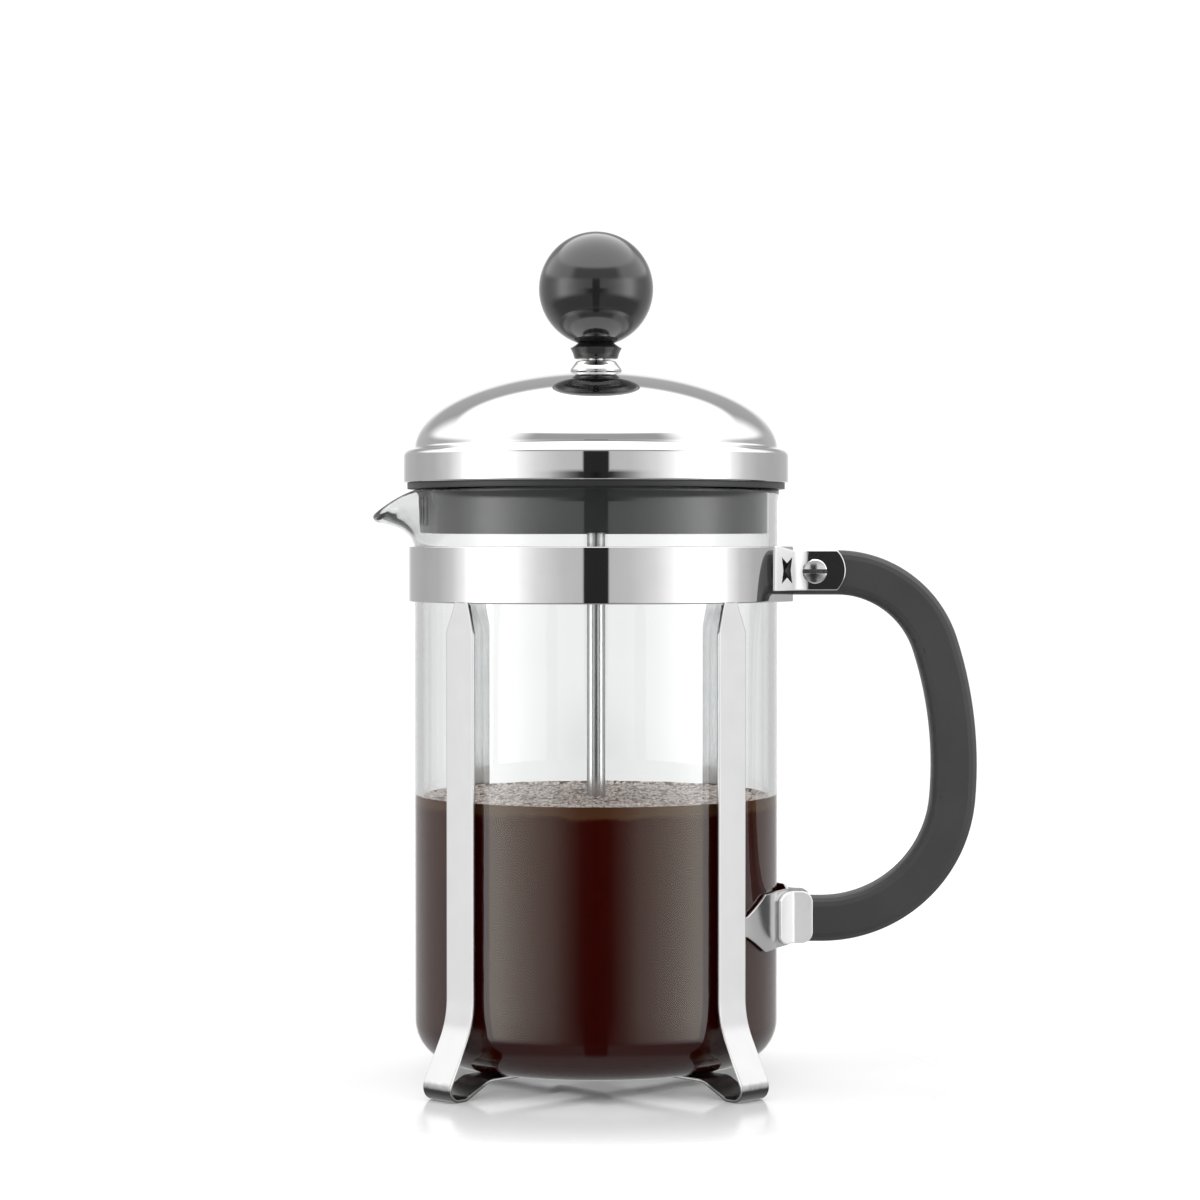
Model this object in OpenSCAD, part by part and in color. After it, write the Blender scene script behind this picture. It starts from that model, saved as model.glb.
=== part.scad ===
// French press (plunger coffee maker), one litre, in millimetres.
// Origin: the beaker's axis at table height. +Z up, +X towards the handle, -X towards the spout.
// Rest state: beaker in its frame, lid on the rim, plunger pressed right down.

/* [Beaker] */
// Outside radius of the glass
glass_r = 49; // [48:0.25:49]
// Thickness of the glass wall
glass_wall = 2.2; // [1.8:0.1:2.4]
// Height of the rim above the table
rim_z = 159; // [156:1:165]
// Height of the underside of the glass above the table
glass_base_z = 5; // [5:0.1:6]
// Outside radius of the rounded bottom corner
glass_corner_r = 11; // [8:0.5:14]

/* [Frame] */
// Lower edge of the band
band_z = 128.8; // [120:0.2:131]
// Height of the band
band_h = 14.8; // [12:0.2:15]
// Radial gap between the glass and the band
band_gap = 0.5; // [0.4:0.1:1]
// Thickness of the band's sheet
band_t = 1.1; // [0.8:0.1:1.4]
// Width of a leg strap
strap_w = 10; // [8:0.5:11]
// Thickness of a leg strap
strap_t = 1; // [0.8:0.1:1]
// How far the legs lean out at the feet, in degrees
leg_lean = 28; // [20:1:30]
// Height at which the legs begin to lean out
leg_lean_z = 26; // [25:1:32]

/* [Handle] */
// Thickness of the handle across its flat sides
handle_t = 10; // [8:0.5:11]
// Width of the handle seen from the side
handle_w = 12; // [10:0.5:13]
// Height of the handle's upper arm
handle_top_z = 136.6; // [134:0.2:138]
// Height of the handle's lower arm
handle_low_z = 42.9; // [42:0.1:45]

/* [Lid] */
// Radius of the lid's flange
lid_r = 52; // [51.5:0.5:54]
// Height of the dome above its skirt
dome_h = 21; // [16:1:26]
// Diameter of the ball knob
knob_d = 31; // [26:1:34]

/* [Plunger] */
// Radius of the plunger rod
rod_r = 2.5; // [2:0.1:3]
// Height of the filter pack's underside when pressed down
pack_z = 20; // [16:1:30]
// Radial gap between the filter mesh and the glass
mesh_gap = 0.3; // [0.2:0.1:0.6]

/* [Hidden] */
$fn = 96;
far = 200; // longer than the object, for cutting shapes

bore_r = glass_r - glass_wall;
floor_t = glass_wall + 0.4;
floor_z = glass_base_z + floor_t;
rim_flare = 1;
rim_lip_h = 4;

// spout: a cone with its point just above the band, cut along an arc that falls from rim to tip
spout_apex = [-46, 141.5];
spout_half_angle = 54;
spout_lean = 3;
spout_wall = 2;
spout_edge_x = -43.8; // where the edge begins to fall
spout_edge_r = 22;

band_in = glass_r + band_gap;
band_out = band_in + band_t;
band_mid = (band_in + band_out) / 2;

// bump of the band and of the saddle strip towards the handle
bump_x = 53;
bump_half = handle_t / 2 + 1.2;
bump_azimuth = 19.6;
saddle_in = glass_r + 0.4;
saddle_t = 0.7;
saddle_z = 43.9;
saddle_h = 15.2;
saddle_bump_x = 51.9;
saddle_azimuth = 15.5;
saddle_end_azimuth = 44;

leg_azimuth = 46;
leg_mid = saddle_in + saddle_t + strap_t / 2;
leg_curve_r = 24;
foot_r = 3;
foot_flat = 2;
sole_rise = 26;
sole_curve_r = 6;
neck_w = 5;
neck_l = 7.5;
joggle_l = 8;

plate_t = 1;
plate_bend_r = 2.5;
ear_z = 137.2;
ear_h = 10.8;
ear_root_h = 6.5; // how far the ear's root rises above its middle
ear_end_x = 67.2;
ear_end_r = 7.5;
clip_h = 14;
clip_end_x = 58.4;
clip_corner_r = 3;
clip_z = 43.7;
plate_in_y = handle_t / 2 + 0.05;
plate_mid_y = plate_in_y + plate_t / 2;
plate_out_y = plate_in_y + plate_t;

screw_x = 58.8;
screw_z = 136.9;
screw_r = 1.95;
screw_hole_r = 2.1;
screw_head_r = 3.3;
screw_head_h = 2.2;
screw_slot_w = 1.1;
nut_across = 7;
nut_h = 3;
nut_cap_r = 3;

handle_upper_r = 28;
handle_back_r = 106;
handle_upper_x = 65.1;
handle_upper_end = 18; // degrees at which the upper curve meets the back
handle_lower_start = -5; // degrees at which the back meets the lower curve
handle_corner_r = 2.4;
handle_clear = 0.3;
lap = 0.1; // how far neighbouring stretches of the handle run into each other

liner_t = 1.6;
liner_z = rim_z + 0.1;
liner_r = bore_r - 0.5;
liner_skirt_h = 12;
liner_flange_r = 51;
skirt_h = 9;
dome_t = 0.9;
dome_z = liner_z + liner_t;
dome_top_z = dome_z + skirt_h + dome_h;
dome_hole_r = 4.1;
bush_r = 4;
bush_head_r = 7;
bush_head_h = 3;
rod_clear = 0.08;
bush_nut_h = 3;
bush_low_z = liner_z - bush_nut_h - 1;

knob_seat_z = dome_top_z + bush_head_h + 0.5;
knob_neck_h = 5;
knob_neck_r = 6;
knob_z = knob_seat_z + knob_neck_h + knob_d / 2 - 1.5;
insert_r = 4;
insert_h = 14;

pack_mesh_z = pack_z + 2.2;
mesh_t = 0.4;
mesh_r = bore_r - mesh_gap;
mesh_edge_h = 4.5;
plate_r = 44;
spiral_r = 42;
spring_wire_r = 1.9;
spring_ring_r = 44.1;
spring_z = pack_mesh_z + mesh_t + spring_wire_r + 0.1;
cross_t = 1;
spiral_t = 0.8;
collar_r = 5;
collar_h = 4;
collar_z = pack_mesh_z + mesh_t + spiral_t;
hub_r = 5.5;

// ---- helpers ----

// points of a circular arc, both ends included
function arc(c, r, a0, a1, n = 8) =
    [for (i = [0:n]) let (a = a0 + (a1 - a0) * i / n) [c[0] + r * cos(a), c[1] + r * sin(a)]];

function unit(v) = v / norm(v);

// normal of a path at point i, from its neighbours
function path_normal(path, i) =
    let (a = path[max(i - 1, 0)], b = path[min(i + 1, len(path) - 1)], d = unit(b - a)) [-d[1], d[0]];

// a path given a thickness, as one closed outline
function ribbon(path, t) = concat(
    [for (i = [0:len(path) - 1]) path[i] + path_normal(path, i) * t / 2],
    [for (i = [len(path) - 1:-1:0]) path[i] - path_normal(path, i) * t / 2]);

// rectangle with round corners, centred, as a list of points
function round_rect(w, h, r, n = 3) = concat(
    arc([w / 2 - r, h / 2 - r], r, 0, 90, n), arc([-w / 2 + r, h / 2 - r], r, 90, 180, n),
    arc([-w / 2 + r, -h / 2 + r], r, 180, 270, n), arc([w / 2 - r, -h / 2 + r], r, 270, 360, n));

function polar(r, a) = [r * cos(a), r * sin(a)];

module tube(z, h, r_out, r_in) {
    translate([0, 0, z]) difference() {
        cylinder(h = h, r = r_out);
        translate([0, 0, -1]) cylinder(h = h + 2, r = r_in);
    }
}

// ---- beaker ----

module spout_cone(inset) {
    // the inset cone's point is raised so that the wall between the cones is inset thick
    lift = inset / sin(spout_half_angle);
    translate([spout_apex[0], 0, spout_apex[1]]) rotate([0, -spout_lean, 0]) translate([0, 0, lift])
        cylinder(h = 40, r1 = 0, r2 = 40 * tan(spout_half_angle));
}

// everything below the rim and below the arc along which the spout's edge falls
module below_spout_edge() {
    translate([spout_edge_x, 0, rim_z - spout_edge_r]) rotate([90, 0, 0])
        cylinder(h = far, r = spout_edge_r, center = true);
    translate([spout_edge_x, -far / 2, rim_z - far]) cube([far, far, far]);
}

module beaker_profile() {
    corner_in = glass_corner_r - glass_wall;
    lip_in = bore_r + rim_flare;
    lip_r = glass_wall / 2;
    polygon(concat(
        [[0, glass_base_z]],
        arc([glass_r - glass_corner_r, glass_base_z + glass_corner_r], glass_corner_r, -90, 0),
        [[glass_r, rim_z - rim_lip_h]],
        arc([lip_in + lip_r, rim_z - lip_r], lip_r, 0, 180),
        [[bore_r, rim_z - rim_lip_h]],
        arc([bore_r - corner_in, floor_z + corner_in], corner_in, 0, -90),
        [[0, floor_z]]));
}

module beaker() color([0.86, 0.92, 0.93, 0.35]) {
    difference() {
        rotate_extrude() beaker_profile();
        intersection() {
            spout_cone(spout_wall);
            translate([-far, -far / 2, 0]) cube([far - 30, far, far]);
        }
    }
    intersection() {
        difference() {
            spout_cone(0);
            spout_cone(spout_wall);
            cylinder(h = far, r = bore_r + 0.4);
        }
        below_spout_edge();
        translate([-far, -far / 2, 0]) cube([far - 30, far, far]);
    }
}

// ---- frame ----

// plan outline of a ring that bulges into a flat-faced bump towards +X
module bumped_disc(r, azimuth, x, half) {
    p = polar(r, azimuth);
    circle(r = r);
    polygon([[0, 0], [p[0], -p[1]], [x, -half], [x, half], [p[0], p[1]]]);
}

module band() color("silver") translate([0, 0, band_z]) linear_extrude(height = band_h) difference() {
    bumped_disc(band_out, bump_azimuth, bump_x, bump_half);
    bumped_disc(band_in, bump_azimuth, bump_x - band_t, bump_half - 0.3);
}

// half of a strap's middle line, from the band down to the foot and in to the axis
function strap_half(dip) =
    let (
        side = leg_lean_z - leg_curve_r * sin(leg_lean),
        lean_start = [leg_mid + leg_curve_r * (1 - cos(leg_lean)), side],
        foot_z = foot_r + strap_t / 2,
        run = (side - foot_z - foot_r * sin(leg_lean)) / cos(leg_lean),
        foot_x = lean_start[0] + run * sin(leg_lean) - foot_r * cos(leg_lean),
        sole_x = foot_x - foot_flat,
        flat_z = glass_base_z - strap_t / 2,
        rise = flat_z - strap_t / 2 - (foot_r + sole_curve_r) * (1 - cos(sole_rise)),
        top_x = sole_x - foot_r * sin(sole_rise) - rise / tan(sole_rise) - sole_curve_r * sin(sole_rise)
    )
    concat(
        [for (i = [0:6]) [band_mid + (leg_mid - band_mid) * (1 - cos(30 * i)) / 2, band_z - joggle_l * i / 6]],
        [for (p = arc([leg_mid + leg_curve_r, leg_lean_z], leg_curve_r, 180, 180 + leg_lean)) p],
        arc([foot_x, foot_z], foot_r, leg_lean, -90, 10),
        arc([sole_x, foot_z], foot_r, -90, -90 - sole_rise, 4),
        arc([top_x, flat_z - sole_curve_r], sole_curve_r, 90 - sole_rise, 90, 4),
        dip > 0 ? [for (i = [0:6]) [14 - i, flat_z - dip * (1 - cos(30 * i)) / 2]] : []);

module leg_strap(azimuth, dip) color("silver") {
    half = strap_half(dip);
    other = [for (i = [len(half) - 1:-1:0]) [-half[i][0], half[i][1]]];
    rotate([0, 0, azimuth]) intersection() {
        translate([0, strap_w / 2, 0]) rotate([90, 0, 0]) linear_extrude(height = strap_w)
            polygon(ribbon(concat(half, other), strap_t));
        rotate([90, 0, 90]) translate([0, 0, -far / 2]) linear_extrude(height = far)
            polygon([[-strap_w, -1], [strap_w, -1], [strap_w / 2 + 0.01, band_z - neck_l],
                [neck_w / 2, band_z], [-neck_w / 2, band_z], [-strap_w / 2 - 0.01, band_z - neck_l]]);
    }
}

module leg_strap_upper() leg_strap(leg_azimuth, 0);
module leg_strap_lower() leg_strap(-leg_azimuth, strap_t);

// strip welded inside the two legs on the handle's side, widened where it carries the clips
module saddle_strip() color("silver") {
    out = saddle_in + saddle_t;
    end_y = out * sin(saddle_end_azimuth);
    intersection() {
        translate([0, 0, saddle_z - saddle_h / 2]) linear_extrude(height = saddle_h) difference() {
            bumped_disc(out, saddle_azimuth, saddle_bump_x, bump_half);
            bumped_disc(saddle_in, saddle_azimuth, saddle_bump_x - saddle_t, bump_half - 0.2);
        }
        translate([30, 0, saddle_z]) rotate([90, 0, 90]) linear_extrude(height = 30)
            polygon([[-end_y, -2.6], [-30.4, -2.6], [-22, -saddle_h / 2], [22, -saddle_h / 2], [30.4, -2.6],
                [end_y, -2.6], [end_y, 2.6], [30.4, 2.6], [22, saddle_h / 2], [-22, saddle_h / 2],
                [-30.4, 2.6], [-end_y, 2.6]]);
    }
}

// a sheet that lies on a bump's slanting side and turns out along the handle, seen from above
// root and corner are the ends of the bump's slanting side
module side_plate(root, corner, end_x, h, z, skip) {
    u = unit(corner - root);
    n = [u[1], -u[0]];
    start = root + n * (plate_t / 2 + 0.02) + u * skip;
    turn = atan2(u[1], u[0]);
    meet = start + u * ((-plate_mid_y - start[1]) / u[1]);
    back = plate_bend_r * tan(turn / 2);
    centre = [meet[0] + back, -plate_mid_y - plate_bend_r];
    path = concat([start], arc(centre, plate_bend_r, 90 + turn, 90, 6), [[end_x, -plate_mid_y]]);
    translate([0, 0, z - h / 2]) linear_extrude(height = h) polygon(ribbon(path, plate_t));
}

// outline of an ear seen from the side: tapered from the band, round at the end
function ear_outline() =
    let (h = ear_h / 2, reach = sqrt(ear_end_r * ear_end_r - h * h), c = ear_end_x - ear_end_r)
    concat([[40, ear_root_h], [48.3, ear_root_h], [52.5, h]],
        arc([c, 0], ear_end_r, atan2(h, reach), -atan2(h, reach), 10), [[40, -h]]);

// four-pointed star pressed into the ear's slanting face
module stake_star(root, corner) {
    u = unit(corner - root);
    mid = root + u * 6.6;
    long = 3.6;
    waist = 1.3;
    translate([mid[0], mid[1], ear_z]) rotate([0, 0, atan2(u[1], u[0])]) rotate([90, 0, 0])
        translate([0, 0, plate_t / 2 + 0.2]) linear_extrude(height = 3)
            polygon([for (i = [0:7]) polar(i % 2 == 0 ? waist : long, 45 * i)]);
}

module ear() color("silver") {
    root = [band_out * cos(bump_azimuth), -band_out * sin(bump_azimuth)];
    corner = [bump_x, -bump_half];
    difference() {
        intersection() {
            side_plate(root, corner, ear_end_x + 1, band_h, ear_z, 0.8);
            translate([0, far / 2, ear_z]) rotate([90, 0, 0]) linear_extrude(height = far)
                polygon(ear_outline());
        }
        stake_star(root, corner);
        translate([screw_x, 0, screw_z]) rotate([90, 0, 0])
            cylinder(h = 60, r = screw_hole_r, center = true);
    }
}

module clip() color("silver") {
    root = polar(saddle_in + saddle_t, -saddle_azimuth);
    corner = [saddle_bump_x, -bump_half];
    low_x = root[0] + 1.3;
    w = clip_end_x - low_x;
    intersection() {
        side_plate(root, corner, clip_end_x + 1, clip_h, clip_z, 0.3);
        translate([low_x + w / 2, far / 2, clip_z]) rotate([90, 0, 0]) linear_extrude(height = far)
            polygon(round_rect(w, clip_h, clip_corner_r, 5));
    }
}

module ear_front() ear();
module ear_rear() mirror([0, 1, 0]) ear();
module clip_front() clip();
module clip_rear() mirror([0, 1, 0]) clip();

// ---- handle ----

module handle_section() polygon(round_rect(handle_w, handle_t, handle_corner_r));

// part of the handle that turns about c in the XZ plane, from angle a0 to a1
module handle_arc(c, r, a0, a1) {
    translate([c[0], 0, c[1]]) rotate([90, 0, 0]) rotate([0, 0, a0]) rotate_extrude(angle = a1 - a0)
        translate([r, 0]) handle_section();
}

module handle_arm(x0, x1, z) {
    translate([x0, 0, z]) rotate([0, 90, 0]) linear_extrude(height = x1 - x0) handle_section();
}

module handle() color([0.16, 0.16, 0.16]) {
    top_c = [handle_upper_x, handle_top_z - handle_upper_r];
    back_c = top_c + polar(handle_upper_r - handle_back_r, handle_upper_end);
    s = sin(-handle_lower_start);
    low_r = (back_c[1] - handle_low_z - handle_back_r * s) / (1 - s);
    low_c = back_c + polar(handle_back_r - low_r, handle_lower_start);
    difference() {
        union() {
            handle_arm(bump_x + handle_clear, handle_upper_x + lap, handle_top_z);
            handle_arc(top_c, handle_upper_r, handle_upper_end - lap, 90);
            handle_arc(back_c, handle_back_r, handle_lower_start, handle_upper_end);
            handle_arc(low_c, low_r, -90, handle_lower_start + lap);
            handle_arm(saddle_bump_x + handle_clear, low_c[0] + lap, handle_low_z);
        }
        translate([screw_x, 0, screw_z]) rotate([90, 0, 0])
            cylinder(h = 60, r = screw_hole_r, center = true);
    }
}

module handle_screw() color("gainsboro") translate([screw_x, 0, screw_z]) rotate([90, 0, 0]) {
    cap_r = (screw_head_r * screw_head_r + screw_head_h * screw_head_h) / (2 * screw_head_h);
    translate([0, 0, -plate_out_y - nut_h]) cylinder(h = 2 * plate_out_y + nut_h, r = screw_r);
    translate([0, 0, plate_out_y]) difference() {
        intersection() {
            cylinder(h = screw_head_h, r = screw_head_r);
            translate([0, 0, screw_head_h - cap_r]) sphere(r = cap_r);
        }
        translate([-screw_head_r, -screw_slot_w / 2, screw_head_h - 1.1])
            cube([2 * screw_head_r, screw_slot_w, 2]);
    }
}

module handle_nut() color("gainsboro") translate([screw_x, plate_out_y, screw_z]) rotate([-90, 0, 0])
    difference() {
        union() {
            rotate([0, 0, 30]) cylinder(h = nut_h, r = nut_across / 2 / cos(30), $fn = 6);
            translate([0, 0, nut_h - 0.2]) intersection() {
                sphere(r = nut_cap_r);
                cylinder(h = nut_cap_r, r = nut_cap_r);
            }
        }
        translate([0, 0, -1]) cylinder(h = nut_h + 1.6, r = screw_r + 0.05);
    }

// ---- lid ----

// half outline of the dome's outside (grow = 0) or of a parallel surface further in
function dome_curve(shrink) =
    let (r = lid_r - 3, n = 14)
    [for (i = [0:n]) let (a = 90 * i / n)
        [max((r - shrink) * cos(a), 0), dome_z + skirt_h + (dome_h - shrink) * sin(a)]];

module lid_dome() color("silver") difference() {
    rotate_extrude() difference() {
        polygon(concat([[0, dome_z], [lid_r, dome_z]],
            arc([lid_r - 2, dome_z + skirt_h - 2], 2, 0, 90, 4), dome_curve(0)));
        polygon(concat([[0, dome_z - 1], [lid_r - dome_t, dome_z - 1]],
            [[lid_r - dome_t, dome_z + skirt_h - 2], [lid_r - 2 - dome_t, dome_z + skirt_h - dome_t]],
            dome_curve(dome_t)));
    }
    cylinder(h = far * 2, r = dome_hole_r);
}

module lid_liner() color([0.12, 0.12, 0.12]) difference() {
    union() {
        translate([0, 0, liner_z]) cylinder(h = liner_t, r = liner_flange_r);
        tube(liner_z - liner_skirt_h, liner_skirt_h, liner_r, liner_r - liner_t);
    }
    translate([0, 0, liner_z - 1]) cylinder(h = liner_t + 2, r = dome_hole_r);
    // pouring slots, facing the spout
    for (a = [-20:5:20]) rotate([0, 0, a])
        translate([-liner_r - 2, -1, liner_z - liner_skirt_h + 2]) cube([6, 2, liner_skirt_h - 4]);
}

module rod_bush() color("gainsboro") difference() {
    union() {
        translate([0, 0, bush_low_z]) cylinder(h = dome_top_z - bush_low_z, r = bush_r);
        translate([0, 0, dome_top_z]) cylinder(h = bush_head_h, r1 = bush_head_r, r2 = bush_head_r - 1.5);
    }
    translate([0, 0, bush_low_z - 1]) cylinder(h = 60, r = rod_r + rod_clear);
}

module bush_nut() color("gainsboro") translate([0, 0, liner_z - bush_nut_h]) difference() {
    cylinder(h = bush_nut_h, r = 8, $fn = 6);
    translate([0, 0, -1]) cylinder(h = bush_nut_h + 2, r = bush_r + 0.03);
}

// ---- plunger ----

module knob() color([0.12, 0.12, 0.12]) difference() {
    union() {
        translate([0, 0, knob_z]) sphere(d = knob_d);
        translate([0, 0, knob_seat_z]) cylinder(h = knob_neck_h + 3, r1 = knob_neck_r, r2 = knob_neck_r + 2);
    }
    translate([0, 0, knob_seat_z - 1]) cylinder(h = insert_h + 1, r = insert_r);
}

module knob_insert() color("goldenrod") tube(knob_seat_z, insert_h - 0.1, insert_r - 0.03, rod_r - 0.45);

module plunger_rod() color("gainsboro") {
    thread_z = knob_seat_z;
    translate([0, 0, pack_z - 0.5]) cylinder(h = collar_z - pack_z + 0.5, r = rod_r - 0.5);
    translate([0, 0, collar_z]) cylinder(h = thread_z - collar_z, r = rod_r);
    translate([0, 0, thread_z]) cylinder(h = insert_h - 1, r = rod_r - 0.5);
}

module rod_collar() color("gainsboro") tube(collar_z, collar_h, collar_r, rod_r + 0.03);

// a disc with a ring of round holes
module holed_disc(z, h, r, hole_r, ring_r, count) {
    difference() {
        translate([0, 0, z]) cylinder(h = h, r = r);
        for (i = [0:count - 1]) rotate([0, 0, 360 * i / count])
            translate([ring_r, 0, z - 1]) cylinder(h = h + 2, r = hole_r);
        translate([0, 0, z - 1]) cylinder(h = h + 2, r = rod_r - 0.45);
    }
}

module spiral_plate() color("silver") holed_disc(pack_mesh_z + mesh_t, spiral_t, spiral_r, 8, 26, 8);

module edge_spring() color("gainsboro") translate([0, 0, spring_z]) rotate_extrude()
    translate([spring_ring_r, 0]) circle(r = spring_wire_r, $fn = 32);

module filter_mesh() color("darkgray") {
    difference() {
        translate([0, 0, pack_mesh_z]) cylinder(h = mesh_t, r = mesh_r);
        translate([0, 0, pack_mesh_z - 1]) cylinder(h = mesh_t + 2, r = rod_r - 0.45);
    }
    tube(pack_mesh_z + mesh_t, mesh_edge_h, mesh_r, mesh_r - mesh_t);
}

module cross_plate() color("silver") difference() {
    union() {
        translate([0, 0, pack_mesh_z - cross_t]) cylinder(h = cross_t, r = plate_r);
        translate([0, 0, pack_z]) cylinder(h = pack_mesh_z - cross_t - pack_z, r = hub_r);
    }
    for (a = [0:90:270]) rotate([0, 0, a]) for (s = [[16, 6.5], [32, 8.5]])
        rotate([0, 0, 45]) translate([s[0], 0, 0]) cylinder(h = 60, r = s[1]);
    for (a = [0:90:270]) rotate([0, 0, a]) translate([30, 0, 0]) cylinder(h = 60, r = 6);
    cylinder(h = 60, r = rod_r - 0.45);
}

beaker();
band();
ear_front();
ear_rear();
leg_strap_upper();
leg_strap_lower();
saddle_strip();
clip_front();
clip_rear();
handle();
handle_screw();
handle_nut();
lid_dome();
lid_liner();
rod_bush();
bush_nut();
knob();
knob_insert();
plunger_rod();
rod_collar();
spiral_plate();
edge_spring();
filter_mesh();
cross_plate();
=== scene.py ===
import math
from contextlib import contextmanager

import bmesh
import bpy
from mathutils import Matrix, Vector, noise


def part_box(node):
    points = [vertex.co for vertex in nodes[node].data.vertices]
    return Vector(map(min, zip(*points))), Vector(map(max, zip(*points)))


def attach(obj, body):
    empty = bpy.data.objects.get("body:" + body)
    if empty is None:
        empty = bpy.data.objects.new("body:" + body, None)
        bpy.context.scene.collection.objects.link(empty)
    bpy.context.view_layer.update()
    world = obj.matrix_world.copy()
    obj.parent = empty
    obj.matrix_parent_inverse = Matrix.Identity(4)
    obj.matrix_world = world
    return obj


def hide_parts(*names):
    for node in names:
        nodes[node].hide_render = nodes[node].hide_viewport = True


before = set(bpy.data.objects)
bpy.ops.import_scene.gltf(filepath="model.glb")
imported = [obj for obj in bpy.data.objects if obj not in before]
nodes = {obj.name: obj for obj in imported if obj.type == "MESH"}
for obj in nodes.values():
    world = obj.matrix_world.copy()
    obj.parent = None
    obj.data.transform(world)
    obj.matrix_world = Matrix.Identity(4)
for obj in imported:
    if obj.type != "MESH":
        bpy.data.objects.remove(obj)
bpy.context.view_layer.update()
scene = bpy.context.scene

MM = 0.001
rad = math.radians

# ---- sizes in millimetres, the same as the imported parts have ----

GLASS_R = 49
GLASS_WALL = 2.2
BORE_R = GLASS_R - GLASS_WALL
RIM_Z = 159
BASE_Z = 5
FLOOR_Z = 7.6
CORNER_R = 11
LIP_H = 4
LIP_FLARE = 1

BAND_Z = 128.8
BAND_H = 14.8
BAND_IN = 49.5
BAND_OUT = 50.6
BAND_MID = (BAND_IN + BAND_OUT) / 2
BAND_AZIMUTH = 19.6
BUMP_X = 53
BUMP_HALF = 6.2

SHEET_T = 1
LUG_HALF = 5.05
FACE_GAP = 0.02
EAR_Z = 137.2
EAR_HALF = 5.4
EAR_ROOT_HALF = 6.5
EAR_TAPER_FROM = 48.3
EAR_TAPER_TO = 52.5
EAR_END_X = 67.2
EAR_END_R = 7.5
EAR_OVERLAP = 2.2
SCREW_X = 58.8
SCREW_Z = 136.9
SCREW_HEAD_R = 3.3
SCREW_HEAD_H = 2.2

SADDLE_IN = 49.4
SADDLE_T = 0.7
SADDLE_OUT = SADDLE_IN + SADDLE_T
SADDLE_Z = 43.9
SADDLE_HALF = 7.6
SADDLE_TIP_HALF = 2.6
SADDLE_TAPER_FROM = 22
SADDLE_TAPER_TO = 30.4
SADDLE_BUMP_X = 51.9
SADDLE_AZIMUTH = 15.5
SADDLE_END_AZIMUTH = 44

CLIP_Z = 43.7
CLIP_H = 14
CLIP_END_X = 58.4
CLIP_CORNER_R = 3

STRAP_W = 10
STRAP_T = 1
LEG_AZIMUTH = 46
LEG_MID = SADDLE_OUT + STRAP_T / 2
LEG_LEAN = 28
LEG_LEAN_Z = 26
LEG_CURVE_R = 24
FOOT_R = 3
FOOT_FLAT = 2
SOLE_RISE = 26
SOLE_CURVE_R = 6
NECK_W = 5
NECK_L = 7.5
JOGGLE_L = 8
CROSSING_HALF = 14

DOME_Z = 160.7
LID_R = 52
SKIRT_H = 9
DOME_H = 21
DOME_T = 0.9
DOME_HOLE_R = 4.1
ROD_R = 2.5
BALL_R = 15.5
SPRING_R = 44.1
SPRING_Z = 24.6
GAUZE_R = 46.5
GAUZE_T = 0.4
GAUZE_TURN_UP = 4.9

COFFEE_Z = 76.2

# ---- camera ----

CAMERA_DISTANCE = 0.88
CAMERA_HEIGHT = 0.144
CAMERA_PITCH = rad(0.97)
CAMERA_YAW = rad(0.069)
CAMERA_LENS_MM = 97.5


def place(name, data):
    """A new object in the scene."""
    thing = bpy.data.objects.new(name, data)
    scene.collection.objects.link(thing)
    return thing


def make_camera():
    data = bpy.data.cameras.new("camera")
    data.sensor_width = 36
    data.lens = CAMERA_LENS_MM
    camera = place("camera", data)
    camera.location = (0, -CAMERA_DISTANCE, CAMERA_HEIGHT)
    camera.rotation_euler = (math.pi / 2 - CAMERA_PITCH, 0, -CAMERA_YAW)
    scene.camera = camera


# ---- shader helpers ----


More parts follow.
